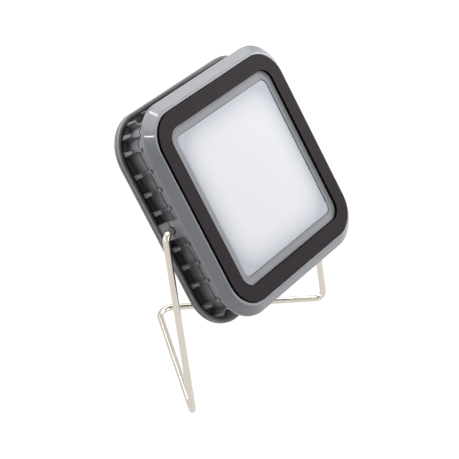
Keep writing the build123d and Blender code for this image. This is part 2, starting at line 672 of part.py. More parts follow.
def make_usb_socket():
    """Upright charging socket behind the port flap, hollow round its contact tongue."""
    mouth = COVER_INSIDE + 0.5
    with BuildPart() as socket:
        with BuildSketch(HEAD.offset(mouth)) as shell:
            with Locations((PORT_X, DRIVER_Y)):
                RectangleRounded(9.2, 3.4, 1.5)
        extrude(shell.sketch, amount=DRIVER_BACK - mouth)
        with BuildSketch(HEAD.offset(mouth)) as hollow:
            with Locations((PORT_X, DRIVER_Y)):
                RectangleRounded(8.5, 2.7, 1.2)
                Rectangle(6.6, 0.8, mode=Mode.SUBTRACT)
        extrude(hollow.sketch, amount=6.0, mode=Mode.SUBTRACT)
    write("usb_socket", socket.part)


def make_light_guides():
    """Clear pins that carry the charge lights to the back cover."""
    places = [(GUIDE_PITCH * (step - 1.5), GUIDE_Y) for step in range(4)]
    with BuildPart() as guides:
        posts(BACK, DRIVER_BACK - 1.2, 1.5, places)
        posts(COVER_INSIDE + FIT, COVER_INSIDE + 1.0, 2.2, places)
    write("charge_light_guides", guides.part)


# ---------------------------------------------------------------- moving controls
def make_power_button():
    """Round rubber button: cap through the cover, retaining collar and stem over the switch."""
    place = [(0, DRIVER_Y)]
    with BuildPart() as button:
        posts(BACK - BUTTON_PROUD, COVER_INSIDE + 1.2, BUTTON_R, place)
        fillet(loop_edges(button, BACK - BUTTON_PROUD), 0.9)
        posts(COVER_INSIDE + PLAY, COVER_INSIDE + 1.2, BUTTON_R + 1.4, place)
        posts(COVER_INSIDE + 1.2, DRIVER_BACK - 5.6, 2.0, place)
        posts(BACK - BUTTON_PROUD, BACK - BUTTON_PROUD + 0.4, 4.6, place, Mode.SUBTRACT)
        posts(BACK - BUTTON_PROUD, BACK - BUTTON_PROUD + 0.4, 3.4, place)
    write("power_button", button.part)


def make_port_flap():
    """Rubber flap over the charging socket, with a rounded hinge end and a sealing nub."""
    length, width, thickness = FLAP
    middle = BACK + thickness / 2
    hinge_x = PORT_X + length / 2 - thickness / 2
    side = Plane(origin=HEAD.from_local_coords(Vector(0, DRIVER_Y - width / 2, 0)),
                 x_dir=HEAD.x_dir, z_dir=-HEAD.y_dir)
    with BuildPart() as flap:
        with BuildSketch(side) as profile:
            with Locations(((PORT_X - length / 2 + hinge_x) / 2, middle)):
                Rectangle(hinge_x - PORT_X + length / 2, thickness)
            with Locations((hinge_x, middle)):
                Circle(thickness / 2)
        extrude(profile.sketch, amount=-width)
        with BuildSketch(HEAD.offset(BACK + thickness)) as nub:
            with Locations((PORT_X, DRIVER_Y)):
                RectangleRounded(9.2, 3.2, 1.2)
        extrude(nub.sketch, amount=0.9)
        with BuildSketch(HEAD.offset(BACK)) as grips:
            for step in range(3):
                with Locations((PORT_X - length / 2 + 1.6 + 1.3 * step, DRIVER_Y)):
                    Rectangle(0.6, width - 2.4)
        extrude(grips.sketch, amount=0.3, mode=Mode.SUBTRACT)
    write("port_flap", flap.part)


# ---------------------------------------------------------------- make everything
make_wire_stand()
make_pivot_bush("pivot_bush_left", -1)
make_pivot_bush("pivot_bush_right", 1)
make_front_bezel()
make_rear_housing()
make_case_gasket()
make_cover_gasket()
make_rear_cover()
make_trim_ring()
make_lens_frame()
make_lens_gasket()
make_diffuser()
make_reflector()
make_led_chips()
make_led_board()
make_heat_spreader()
make_battery_cells()
make_battery_tray()
make_battery_tabs()
make_leads()
make_driver_board()
make_board_parts()
make_tact_switch()
make_usb_socket()
make_light_guides()
make_power_button()
make_port_flap()
screws("case_screws", four_ways(CASE_SCREW, CASE_SCREW), -10.2, 2.9, 1.6, 1.25, 15.0, 1)
screws("cover_screws", four_ways(*COVER_SCREW), BACK + 2.0, 2.8, 1.5, 1.25, 9.0, 1)
screws("spreader_screws", eight_ways(*SPREADER_SCREW), SPREADER_BOTTOM, 2.1, 1.4, 1.05, 6.0, 1)
screws("board_screws", four_ways(BOARD_SCREW, BOARD_SCREW), BOARD_TOP, 2.8, 1.4, 1.5, 3.4, -1)
screws("driver_screws", [(x, DRIVER_Y + y) for x, y in four_ways(*DRIVER_SCREW)],
       DRIVER_FRONT, 2.4, 1.4, 1.0, 8.0, -1)
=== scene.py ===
import json
from math import cos, pi, radians, sin, tan, tau
import bpy
from mathutils import Matrix, Vector


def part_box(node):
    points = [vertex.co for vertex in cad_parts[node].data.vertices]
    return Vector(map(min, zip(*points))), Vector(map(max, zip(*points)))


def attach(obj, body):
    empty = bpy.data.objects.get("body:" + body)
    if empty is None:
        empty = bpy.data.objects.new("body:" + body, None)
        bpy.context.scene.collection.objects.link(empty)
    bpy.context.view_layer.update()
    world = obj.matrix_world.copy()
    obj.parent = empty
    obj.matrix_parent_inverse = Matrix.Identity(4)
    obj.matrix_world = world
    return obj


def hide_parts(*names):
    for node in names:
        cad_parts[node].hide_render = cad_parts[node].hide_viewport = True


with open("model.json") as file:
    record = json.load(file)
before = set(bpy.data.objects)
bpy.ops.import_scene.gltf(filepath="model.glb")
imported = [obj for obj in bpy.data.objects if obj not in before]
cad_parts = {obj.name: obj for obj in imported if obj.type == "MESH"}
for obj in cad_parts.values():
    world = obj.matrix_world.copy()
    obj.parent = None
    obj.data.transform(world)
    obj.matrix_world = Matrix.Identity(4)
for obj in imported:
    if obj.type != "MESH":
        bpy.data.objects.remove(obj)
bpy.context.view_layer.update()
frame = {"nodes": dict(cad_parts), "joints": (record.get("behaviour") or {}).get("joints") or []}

MM = 0.001

# ---------------------------------------------------------------- places taken from the frame
JOINTS = {joint["name"]: joint for joint in frame["joints"]}
PIVOT = Vector(JOINTS["head_tilt"]["pos_m"])
FACE_OUT = Vector(JOINTS["power_button_press"]["axis"]).normalized()
FACE_RIGHT = Vector((1.0, 0.0, 0.0))
FACE_UP = FACE_OUT.cross(FACE_RIGHT)
STAND_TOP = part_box("wire_stand")[1].z
WIRE_RADIUS = STAND_TOP - PIVOT.z       # the wire's top is on its tips, which lie on the tilt axis


def head_vector(right, up, out):
    """A vector in the head's own directions: right, up the face, out of the face."""
    return FACE_RIGHT * right + FACE_UP * up + FACE_OUT * out


# ---------------------------------------------------------------- camera
SENSOR_WIDTH = 36.0
FOCAL_LENGTH = 138.5
CLIP_START, CLIP_END = 0.05, 60.0
CAMERA_PLACE = (-835.5, 187.9, 788.0)   # head millimetres from the tilt axis
CAMERA_AHEAD = (0.704, -0.183, -0.686)  # both in the head's own directions
CAMERA_RIGHT = (0.561, -0.451, 0.695)


def make_camera():
    """A long lens from the front left, above the lamp."""
    data = bpy.data.cameras.new("camera")
    data.sensor_width = SENSOR_WIDTH
    data.lens = FOCAL_LENGTH
    data.clip_start = CLIP_START
    data.clip_end = CLIP_END
    camera = bpy.data.objects.new("camera", data)
    bpy.context.scene.collection.objects.link(camera)
    camera.location = PIVOT + head_vector(*CAMERA_PLACE) * MM
    forward = head_vector(*CAMERA_AHEAD).normalized()
    right = head_vector(*CAMERA_RIGHT)
    right = (right - forward * right.dot(forward)).normalized()
    up = right.cross(forward)
    camera.rotation_euler = Matrix((right, up, -forward)).transposed().to_euler()
    bpy.context.scene.camera = camera


make_camera()


# ---------------------------------------------------------------- material building blocks
CORNER_CENTRE = 48.0        # where the head's rounded corners are centred, in millimetres


class Finish:
    """A node material being put together: node tree, Principled shader and texture space."""

    def __init__(self, name, color, roughness, metallic=0.0, space="Object"):
        self.material = bpy.data.materials.new(name)
        self.material.use_nodes = True
        self.nodes = self.material.node_tree.nodes
        self.links = self.material.node_tree.links
        self.shader = self.nodes["Principled BSDF"]
        self.shader.inputs["Base Color"].default_value = (*color, 1.0)
        self.shader.inputs["Roughness"].default_value = roughness
        self.shader.inputs["Metallic"].default_value = metallic
        self.coordinates = self.nodes.new("ShaderNodeTexCoord")
        self.space = self.coordinates.outputs[space]

    def socket(self, name, value):
        """Give one of the shader's sockets a constant."""
        self.shader.inputs[name].default_value = value
        return self

    def drive(self, name, value):
        """Drive one of the shader's sockets."""
        self.links.new(value, self.shader.inputs[name])

    def color_so_far(self):
        """The output that drives the base colour now."""
        return self.shader.inputs["Base Color"].links[0].from_socket

    def math(self, operation, first, second=None):
        """One arithmetic step on values or numbers."""
        node = self.nodes.new("ShaderNodeMath")
        node.operation = operation
        for place, value in enumerate((first, second)):
            if value is None:
                continue
            if isinstance(value, (int, float)):
                node.inputs[place].default_value = value
            else:
                self.links.new(value, node.inputs[place])
        return node.outputs["Value"]

    def largest(self, first, *others):
        """The largest of several values."""
        for other in others:
            first = self.math("MAXIMUM", first, other)
        return first

    def along(self, axis):
        """Distance in metres from the tilt axis along a fixed direction of the piece at rest."""
        shift = self.nodes.new("ShaderNodeVectorMath")
        shift.operation = "SUBTRACT"
        shift.inputs[1].default_value = PIVOT
        self.links.new(self.coordinates.outputs["Object"], shift.inputs[0])
        return self.dot(shift.outputs["Vector"], axis)

    def off_middle(self):
        """Distances in metres from the head's middle, sideways and up the face, as a pair."""
        return [self.math("ABSOLUTE", self.along(axis)) for axis in (FACE_RIGHT, FACE_UP)]

    def facing(self, axis):
        """How far the surface faces a fixed direction of the piece, from -1 to 1."""
        return self.dot(self.coordinates.outputs["Normal"], axis)

    def outward(self):
        """Distance in metres from the head's middle, in rings that follow its rounded outline."""
        beyond = []
        for reach in self.off_middle():
            past_straight = self.largest(self.math("SUBTRACT", reach, CORNER_CENTRE * MM), 0.0)
            beyond.append(self.math("MULTIPLY", past_straight, past_straight))
        corner = self.math("POWER", self.math("ADD", *beyond), 0.5)
        return self.math("ADD", corner, CORNER_CENTRE * MM)

    def dot(self, source, axis):
        """Dot product of a vector output and a constant direction."""
        node = self.nodes.new("ShaderNodeVectorMath")
        node.operation = "DOT_PRODUCT"
        node.inputs[1].default_value = axis
        self.links.new(source, node.inputs[0])
        return node.outputs["Value"]

    def mapped(self, stretch):
        """The texture space scaled on each axis."""
        mapping = self.nodes.new("ShaderNodeMapping")
        mapping.inputs["Scale"].default_value = stretch
        self.links.new(self.space, mapping.inputs["Vector"])
        return mapping.outputs["Vector"]

    def noise(self, scale, detail=3.0, stretch=(1.0, 1.0, 1.0)):
        """A noise texture, as a 0 to 1 value."""
        texture = self.nodes.new("ShaderNodeTexNoise")
        texture.inputs["Scale"].default_value = scale
        texture.inputs["Detail"].default_value = detail
        self.links.new(self.mapped(stretch), texture.inputs["Vector"])
        return texture.outputs["Fac"]

    def cells(self, scale, stretch=(1.0, 1.0, 1.0)):
        """Distance to the edges of uneven cells, for circuit tracks."""
        texture = self.nodes.new("ShaderNodeTexVoronoi")
        texture.feature = "DISTANCE_TO_EDGE"
        texture.inputs["Scale"].default_value = scale
        texture.inputs["Randomness"].default_value = 0.8
        self.links.new(self.mapped(stretch), texture.inputs["Vector"])
        return texture.outputs["Distance"]

    def spread(self, value, low, high, from_low=0.3, from_high=0.7):
        """Map a value from one range, by default that of most noise, to a new low and high."""
        node = self.nodes.new("ShaderNodeMapRange")
        node.inputs["From Min"].default_value = from_low
        node.inputs["From Max"].default_value = from_high
        node.inputs["To Min"].default_value = low
        node.inputs["To Max"].default_value = high
        self.links.new(value, node.inputs["Value"])
        return node.outputs["Result"]

    def change(self, distance, ends, low=0.0, high=1.0):
        """Go from low to high as a distance in metres goes between two ends in millimetres."""
        return self.spread(distance, low, high, ends[0] * MM, ends[1] * MM)

    def blend_colors(self, factor, first, second):
        """A colour between two, by a 0 to 1 value. Either may be a colour or an output."""
        node = self.nodes.new("ShaderNodeMix")
        node.data_type = "RGBA"
        for place, value in (("A", first), ("B", second)):
            if isinstance(value, tuple):
                node.inputs[place].default_value = (*value, 1.0)
            else:
                self.links.new(value, node.inputs[place])
        self.links.new(factor, node.inputs["Factor"])
        return node.outputs["Result"]

    def bump(self, height, distance):
        """Surface relief from a 0 to 1 height, with its full distance in metres."""
        node = self.nodes.new("ShaderNodeBump")
        node.inputs["Strength"].default_value = 1.0
        node.inputs["Distance"].default_value = distance
        self.links.new(height, node.inputs["Height"])
        self.links.new(node.outputs["Normal"], self.shader.inputs["Normal"])


def shades(color, amount):
    """A darker and a lighter version of a colour."""
    return tuple(c * (1 - amount) for c in color), tuple(min(1.0, c * (1 + amount)) for c in color)


# ---------------------------------------------------------------- materials
CASE_GREY = (0.231, 0.243, 0.272)
HOUSING_GREY = (0.262, 0.255, 0.266)
FRAME_GREY = (0.282, 0.288, 0.309)
# painted highlight along the bezel's lip
LIP_PAINTED_HIGHLIGHT = (0.66, 0.68, 0.71)
SHADOWED = (0.004, 0.004, 0.004)
TRIM_FACE = (0.0350, 0.0275, 0.0320)
# painted shade on the trim ring's side walls
TRIM_WALL_PAINTED_SHADE = (0.0010, 0.0010, 0.0010)
LENS_MIDDLE = (0.925, 0.94, 0.97)
# painted shade towards the lens's edge
LENS_EDGE_PAINTED_SHADE = (0.565, 0.59, 0.665)
WIRE_NICKEL = (0.61, 0.562, 0.495)
LED_BODY = (0.85, 0.84, 0.80)
BLACK = (0.022, 0.022, 0.023)
BRUSHED = (0.05, 1.0, 1.0)

# where a finish and its painted light and shade change on the head, in millimetres: heights are
# measured out of the face from the tilt axis, the others outward from the head's middle
BEZEL_JOINT_HEIGHT = (0.30, 0.55)
LIP_HEIGHT = (17.2, 17.6)
LIP_INNER_SIDE = (68.7, 69.2)
HOUSING_JOINT_HEIGHT = (-0.50, -0.25)
CHANNEL_HEIGHT = (-9.9, -1.5)
FLANGE_TOP_HEIGHT = (-9.75, -9.6)
CHANNEL_WALL = (70.5, 71.1)
RIB_EDGE = (70.6, 72.0)
RIM = (72.9, 73.3)
RIM_BRINK = (74.3, 74.8)
FRAME_BY_RING = (52.0, 56.5)

CHANNEL_PAINTED_SHADE = 0.30         # painted shade: share of the plastic's own tone left at the bottom of the channel
RIM_PAINTED_SHADE = 0.55             # the same painted shade on the rim, inside its brink
FRAME_PAINTED_LIGHT = 1.25        # painted light: how much lighter the lens frame is painted by the trim ring, against the ring's shadow

LENS_HALF = 50.9            # half of the lens's width, in millimetres
LENS_SQUARENESS = 5.0       # from 2, shaded in circles, up to squares
LENS_EDGE_START = 0.45      # share of the way out where the painted shade starts
LENS_EDGE_POWER = 3.2
LED_PITCH = 16.0            # millimetres, as is the die
LED_DIE = 3.9
LED_SHIFT = 8.0             # whole pitches, so that every place counts up from above 0
LED_SOFT = 0.92             # share of the window's half width where its edge starts


def moulded_plastic(name, color, roughness, variation=0.04):
    """Moulded plastic: fine spark-eroded grain, faint flow variation in tone and gloss."""
    finish = Finish(name, color, roughness)
    flow = finish.spread(finish.noise(28.0, detail=5.0), 0.0, 1.0)
    finish.drive("Base Color", finish.blend_colors(flow, *shades(color, variation)))
    gloss = finish.noise(170.0)
    finish.drive("Roughness", finish.spread(gloss, roughness - 0.04, roughness + 0.04))
    finish.bump(finish.noise(5200.0, detail=2.0), 0.000012)
    return finish


def bezel_plastic(name, color, roughness):
    """The front case half: satin slopes under a thin gloss, a painted lip highlight, a dark joint
    line.
    """
    finish = moulded_plastic(name, color, roughness, variation=0.03)
    finish.socket("Coat Weight", 0.6).socket("Coat Roughness", 0.12)
    height = finish.along(FACE_OUT)
    raised = finish.change(height, LIP_HEIGHT)
    inner = finish.change(finish.outward(), LIP_INNER_SIDE, 1.0, 0.0)
    lip = finish.math("MULTIPLY", raised, inner)
    # painted highlight: the lip's inner land is painted light grey
    lip_painted_highlight = finish.blend_colors(lip, finish.color_so_far(), LIP_PAINTED_HIGHLIGHT)
    above_joint = finish.change(height, BEZEL_JOINT_HEIGHT)
    finish.drive("Base Color", finish.blend_colors(above_joint, SHADOWED, lip_painted_highlight))
    return finish


def channel_plastic(name, color, roughness):
    """The rear case half: satin, with painted shade down its channel, on its rim and in a line on
    the flange, none on rib edges; a dark joint line.
    """
    finish = moulded_plastic(name, color, roughness)
    height = finish.along(FACE_OUT)
    outward = finish.outward()
    above_flange = finish.change(height, FLANGE_TOP_HEIGHT)
    past_ribs = finish.change(outward, RIM)
    rib_edge = finish.math("MULTIPLY", finish.change(outward, RIB_EDGE), above_flange)
    rim = finish.math("MULTIPLY", past_ribs, RIM_PAINTED_SHADE)
    brink = finish.change(outward, RIM_BRINK)
    channel = finish.change(height, CHANNEL_HEIGHT, CHANNEL_PAINTED_SHADE, 1.0)
    # tone is painted shade: full on the rib edges and the rim's brink, less on the rim, least down
    # the channel
    tone = finish.largest(rib_edge, brink, rim, channel)
    inside = finish.change(outward, CHANNEL_WALL, 1.0, 0.0)
    # a painted shadow line on the flange, between the channel wall and the rim
    off_painted_shadow_line = finish.largest(inside, past_ribs, above_flange)
    below_joint = finish.change(height, HOUSING_JOINT_HEIGHT, 1.0, 0.0)
    shade = finish.math("MULTIPLY", finish.math("MULTIPLY", tone, below_joint), off_painted_shadow_line)
    finish.drive("Base Color", finish.blend_colors(shade, SHADOWED, finish.color_so_far()))
    return finish


def trim_plastic(name):
    """The trim ring: matt warm black on its face, with painted shade making its side walls dead
    black.
    """
    finish = Finish(name, TRIM_FACE, 0.5)
    finish.socket("Specular IOR Level", 0.05)
    to_face = finish.spread(finish.facing(FACE_OUT), 0.0, 1.0, 0.72, 0.97)
    flow = finish.spread(finish.noise(60.0, detail=6.0), 0.0, 1.0)
    face_color = finish.blend_colors(flow, *shades(TRIM_FACE, 0.07))
    # painted shade: walls that turn away from the front are painted dead black
    finish.drive("Base Color", finish.blend_colors(to_face, TRIM_WALL_PAINTED_SHADE, face_color))
    finish.drive("Roughness", finish.spread(to_face, 1.0, 0.50, 0.0, 1.0))
    finish.bump(finish.noise(4200.0, detail=3.0), 0.00002)
    return finish


def frame_plastic(name, color, roughness):
    """The lens frame: satin, with painted light by the trim ring that lifts the ring's shadow."""
    finish = moulded_plastic(name, color, roughness, variation=0.03)
    by_ring = finish.change(finish.largest(*finish.off_middle()), FRAME_BY_RING)
    # painted light: the frame is painted lighter by the ring to hide the shadow the ring casts on
    # it
    lighter = tuple(c * FRAME_PAINTED_LIGHT for c in color)
    finish.drive("Base Color", finish.blend_colors(by_ring, finish.color_so_far(), lighter))
    return finish


def opal_lens(name):
    """Opal diffuser: milky white, with painted shade that makes it cooler and a little darker
    towards its edge.
    """
    finish = Finish(name, LENS_MIDDLE, 0.30)
    powers = []
    for distance in finish.off_middle():
        share = finish.math("DIVIDE", distance, LENS_HALF * MM)
        powers.append(finish.math("POWER", share, LENS_SQUARENESS))
    way_out = finish.math("POWER", finish.math("ADD", *powers), 1 / LENS_SQUARENESS)
    falloff = finish.math("POWER", finish.spread(way_out, 0.0, 1.0, LENS_EDGE_START, 1.0),
                          LENS_EDGE_POWER)
    cloud = finish.spread(finish.noise(22.0, detail=3.0), -0.02, 0.02)
    to_edge = finish.math("ADD", falloff, cloud)
    # painted shade: cooler and darker towards the edge
    finish.drive("Base Color", finish.blend_colors(to_edge, LENS_MIDDLE, LENS_EDGE_PAINTED_SHADE))
    finish.bump(finish.noise(2600.0, detail=2.0), 0.000008)
    return finish


def plated_wire(name):
    """Nickel-plated drawn steel wire: bright, warm, with faint drawing lines along it."""
    finish = Finish(name, WIRE_NICKEL, 0.15, metallic=1.0, space="UV")
    drawn = finish.noise(1.0, detail=4.0, stretch=(60.0, 8.0, 1.0))
    lines = finish.spread(drawn, 0.0, 1.0)
    finish.drive("Base Color", finish.blend_colors(lines, *shades(WIRE_NICKEL, 0.05)))
    smear = finish.noise(1.0, detail=3.0, stretch=(4.0, 90.0, 1.0))
    finish.drive("Roughness", finish.spread(smear, 0.15, 0.23))
    finish.bump(drawn, 0.000004)
    return finish


def rubber(name, color, roughness=0.62):
    """Moulded rubber with a dusty grain."""
    finish = Finish(name, color, roughness)
    dust = finish.spread(finish.noise(420.0, detail=5.0), 0.0, 1.0)
    finish.drive("Base Color", finish.blend_colors(dust, *shades(color, 0.22)))
    dull = finish.noise(900.0)
    finish.drive("Roughness", finish.spread(dull, roughness - 0.08, roughness + 0.08))
    finish.bump(finish.noise(2800.0, detail=3.0), 0.00003)
    return finish


def metal(name, color, roughness, stretch=(1.0, 1.0, 1.0)):
    """Bare or plated metal. A stretch turns its grain into brushing."""
    finish = Finish(name, color, roughness, metallic=1.0)
    grain = finish.noise(600.0, detail=4.0, stretch=stretch)
    tone = finish.spread(grain, 0.0, 1.0)
    finish.drive("Base Color", finish.blend_colors(tone, *shades(color, 0.08)))
    finish.drive("Roughness", finish.spread(grain, roughness - 0.07, roughness + 0.09))
    finish.bump(grain, 0.000006)
    return finish


def circuit_board(name, mask, track):
    """Solder mask with slightly raised tracks under it."""
    finish = Finish(name, mask, 0.32)
    lines = finish.spread(finish.cells(150.0, stretch=(1.0, 0.6, 0.6)), 1.0, 0.0, 0.03, 0.09)
    finish.drive("Base Color", finish.blend_colors(lines, mask, track))
    finish.bump(lines, 0.00003)
    return finish


def led_packages(name):
    """White LED packages with a square yellow phosphor window in each."""
    finish = Finish(name, LED_BODY, 0.35)
    reach = []
    for axis in (FACE_RIGHT, FACE_UP):
        pitches = finish.math("DIVIDE", finish.along(axis), LED_PITCH * MM)
        share = finish.math("FRACT", finish.math("ADD", pitches, LED_SHIFT))
        reach.append(finish.math("ABSOLUTE", finish.math("SUBTRACT", share, 0.5)))
    edge = LED_DIE / LED_PITCH / 2
    window = finish.spread(finish.largest(*reach), 1.0, 0.0, edge * LED_SOFT, edge)
    speckle = finish.spread(finish.noise(3500.0, detail=4.0), 0.0, 1.0)
    phosphor = finish.blend_colors(speckle, (0.78, 0.58, 0.07), (0.90, 0.72, 0.14))
    finish.drive("Base Color", finish.blend_colors(window, LED_BODY, phosphor))
    finish.bump(window, -0.00008)
    return finish


def wrapped_can(name, wrap, end, axis):
    """A metal can in coloured shrink wrap, bare at its ends."""
    finish = Finish(name, wrap, 0.28)
    bare = finish.spread(finish.math("ABSOLUTE", finish.facing(axis)), 0.0, 1.0, 0.8, 0.9)
    wrinkle = finish.noise(260.0, detail=3.0)
    sleeve = finish.blend_colors(finish.spread(wrinkle, 0.0, 1.0), *shades(wrap, 0.12))
    finish.drive("Base Color", finish.blend_colors(bare, sleeve, end))
    finish.drive("Metallic", bare)
    finish.bump(wrinkle, 0.00003)
    return finish


def frosted_guide(name):
    """Frosted clear plastic, seen as a pale milky pin."""
    finish = Finish(name, (0.80, 0.85, 0.83), 0.38)
    finish.socket("Transmission Weight", 0.35).socket("IOR", 1.49)
    haze = finish.spread(finish.noise(900.0, detail=4.0), 0.0, 1.0)
    finish.drive("Base Color", finish.blend_colors(haze, (0.74, 0.80, 0.78), (0.86, 0.90, 0.88)))
    finish.bump(finish.noise(3200.0), 0.00001)
    return finish


FINISHES = {
    "front_bezel": bezel_plastic("case_grey", CASE_GREY, 0.32),
    "rear_housing": channel_plastic("housing_grey", HOUSING_GREY, 0.44),
    "rear_cover": moulded_plastic("cover_grey", HOUSING_GREY, 0.40),
    "lens_frame": frame_plastic("frame_grey", FRAME_GREY, 0.40),
    "trim_ring": trim_plastic("trim_dark"),
    "diffuser": opal_lens("opal_lens"),
    "pivot_bush_left pivot_bush_right": moulded_plastic("bush_black", BLACK, 0.45),
    "case_gasket cover_gasket lens_gasket": rubber("seal_black", (0.016, 0.016, 0.017)),
    "reflector": moulded_plastic("reflector_white", (0.84, 0.84, 0.83), 0.22),
    "led_board": circuit_board("led_board_white", (0.80, 0.80, 0.78), (0.70, 0.70, 0.67)),
    "led_chips": led_packages("led_phosphor"),
    "heat_spreader": metal("aluminium_plate", (0.70, 0.71, 0.72), 0.34, stretch=BRUSHED),
    "battery_cells": wrapped_can("cell_wrap", (0.035, 0.16, 0.36), (0.62, 0.61, 0.58), FACE_UP),
    "battery_tray": moulded_plastic("tray_black", BLACK, 0.50),
    "battery_tabs usb_socket": metal("nickel_strip", (0.62, 0.59, 0.54), 0.26, stretch=BRUSHED),
    "battery_leads": rubber("lead_red", (0.42, 0.022, 0.018), 0.42),
    "led_leads": rubber("lead_black", (0.02, 0.02, 0.022), 0.42),
    "driver_board": circuit_board("board_green", (0.012, 0.105, 0.040), (0.030, 0.190, 0.075)),
    "connectors": moulded_plastic("connector_nylon", (0.74, 0.71, 0.62), 0.38),
    "capacitors":
        wrapped_can("capacitor_sleeve", (0.03, 0.035, 0.06), (0.66, 0.66, 0.67), FACE_OUT),
    "driver_chips tact_switch": moulded_plastic("chip_black", (0.020, 0.020, 0.021), 0.55),
    "indicator_leds": moulded_plastic("indicator_lens", (0.80, 0.79, 0.68), 0.25),
    "inductor": moulded_plastic("ferrite_grey", (0.045, 0.042, 0.042), 0.58),
    "charge_light_guides": frosted_guide("clear_guide"),
    "power_button": rubber("button_rubber", (0.030, 0.030, 0.033)),
    "port_flap": rubber("flap_rubber", (0.032, 0.032, 0.035)),
    "case_screws cover_screws spreader_screws board_screws driver_screws":
        metal("screw_zinc", (0.46, 0.46, 0.47), 0.32),
    "wire_stand": plated_wire("stand_wire"),
}


def dress_nodes():
    """Give every CAD node its finish."""
    for names, finish in FINISHES.items():
        for name in names.split():
            materials = frame["nodes"][name].data.materials
            materials.clear()
            materials.append(finish.material)


dress_nodes()


# ---------------------------------------------------------------- stand wire
# its route in millimetres, as in its CAD solid
WIRE_TIP = 60.0
LEG_X = 80.8
FOOT_X = 82.3
FOOT_FORWARD = 25.4
APEX_BACK = 63.8
BEND = 5.0
APEX_BEND = 11.0

# its mesh
ROUND_SIDES = 40
ARC_STEP = radians(5.0)
RUN_STEP = 8.0 * MM
END_REACH = 0.6             # millimetres by which its softened ends go on
END_SHRINK = 0.74           # the end's size against the tube's


def rounded_route(corners, radii):
    """Points along straight runs joined by arcs, with even steps on both."""
    points = [corners[0]]
    for before, corner, after, radius in zip(corners, corners[1:], corners[2:], radii):
        back = (before - corner).normalized()
        ahead = (after - corner).normalized()
        half_angle = back.angle(ahead) / 2
        setback = radius / tan(half_angle)
        centre = corner + (back + ahead).normalized() * (radius / sin(half_angle))
        start = corner + back * setback
        add_run(points, start)
        turn = pi - 2 * half_angle
        axis = back.cross(ahead).normalized()
        steps = max(2, round(turn / ARC_STEP))
        for step in range(1, steps + 1):
            turned = Matrix.Rotation(-turn * step / steps, 3, axis) @ (start - centre)
            points.append(centre + turned)
    add_run(points, corners[-1])
    return points


def add_run(points, end):
    """Extend a list of points along a straight run to its end."""
    start = points[-1]
    steps = max(1, round((end - start).length / RUN_STEP))
    points.extend(start.lerp(end, step / steps) for step in range(1, steps + 1))


def tube_rings(points, radius):
    """Rings of vertices round a route, carried along it without twisting."""
    rings = []
    side = Vector((0.0, 0.0, 1.0))
    for place, point in enumerate(points):
        before = points[max(place - 1, 0)]
        after = points[min(place + 1, len(points) - 1)]
        ahead = (after - before).normalized()
        side = (side - ahead * side.dot(ahead)).normalized()
        across = ahead.cross(side)
        ring = []
        for k in range(ROUND_SIDES):
            angle = tau * k / ROUND_SIDES
            ring.append(point + (side * cos(angle) + across * sin(angle)) * radius)
        rings.append(ring)
    return rings


def softened_end(ring, end, before):
    """A smaller ring a little past the end of a tube, so that its rim is soft."""
    ahead = (end - before).normalized() * END_REACH * MM
    return [end + (corner - end) * END_SHRINK + ahead for corner in ring]


def tube_mesh(name, rings):
    """A closed tube through rings of vertices, with smooth sides and flat ends."""
    vertices = [corner for ring in rings for corner in ring]
    faces = []
    for ring in range(len(rings) - 1):
        near = ring * ROUND_SIDES
        far = near + ROUND_SIDES
        for k in range(ROUND_SIDES):
            k_next = (k + 1) % ROUND_SIDES
            faces.append((near + k, near + k_next, far + k_next, far + k))
    last = (len(rings) - 1) * ROUND_SIDES
    faces.append(tuple(reversed(range(ROUND_SIDES))))
    faces.append(tuple(last + k for k in range(ROUND_SIDES)))
    mesh = bpy.data.meshes.new(name)
    mesh.from_pydata(vertices, [], faces)
    mesh.update()
    for polygon in mesh.polygons:
        polygon.use_smooth = len(polygon.vertices) == 4
    return mesh


def unroll_tube(mesh, rings):
    """A UV layer for a tube: the share of the way round, and metres along."""
    lengths = [0.0]
    for before, ring in zip(rings, rings[1:]):
        lengths.append(lengths[-1] + (ring[0] - before[0]).length)
    layer = mesh.uv_layers.new(name="round_and_along")
    for polygon in mesh.polygons:
        turned = [index % ROUND_SIDES for index in polygon.vertices]
        wraps = len(turned) == 4 and 0 in turned and ROUND_SIDES - 1 in turned
        for loop, index in zip(polygon.loop_indices, polygon.vertices):
            k = index % ROUND_SIDES
            if wraps and k == 0:
                k = ROUND_SIDES
            layer.data[loop].uv = (k / ROUND_SIDES, lengths[index // ROUND_SIDES])


def stand_route():
    """The wire's centre line, from its left tip round the base to its right tip."""
    pivot_y, pivot_z = PIVOT.y / MM, PIVOT.z / MM
    floor = WIRE_RADIUS / MM
    left = [Vector((-WIRE_TIP, pivot_y, pivot_z)),
            Vector((-LEG_X, pivot_y, pivot_z)),
            Vector((-FOOT_X, pivot_y - FOOT_FORWARD, floor))]
    apex = Vector((0.0, pivot_y + APEX_BACK, floor))
    right = [Vector((-corner.x, corner.y, corner.z)) for corner in reversed(left)]
    corners = [corner * MM for corner in left + [apex] + right]
    radii = [radius * MM for radius in (BEND, BEND, APEX_BEND, BEND, BEND)]
    return rounded_route(corners, radii)


def make_stand():
    """The stand wire as one smooth tube with softened ends."""
    points = stand_route()
    rings = tube_rings(points, WIRE_RADIUS)
    left_end = softened_end(rings[0], points[0], points[1])
    right_end = softened_end(rings[-1], points[-1], points[-2])
    rings = [left_end] + rings + [right_end]
    mesh = tube_mesh("stand_wire", rings)
    unroll_tube(mesh, rings)
    mesh.materials.append(FINISHES["wire_stand"].material)
    stand = bpy.data.objects.new("stand_wire", mesh)
    bpy.context.scene.collection.objects.link(stand)
    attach(stand, "stand")
    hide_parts("wire_stand")


make_stand()


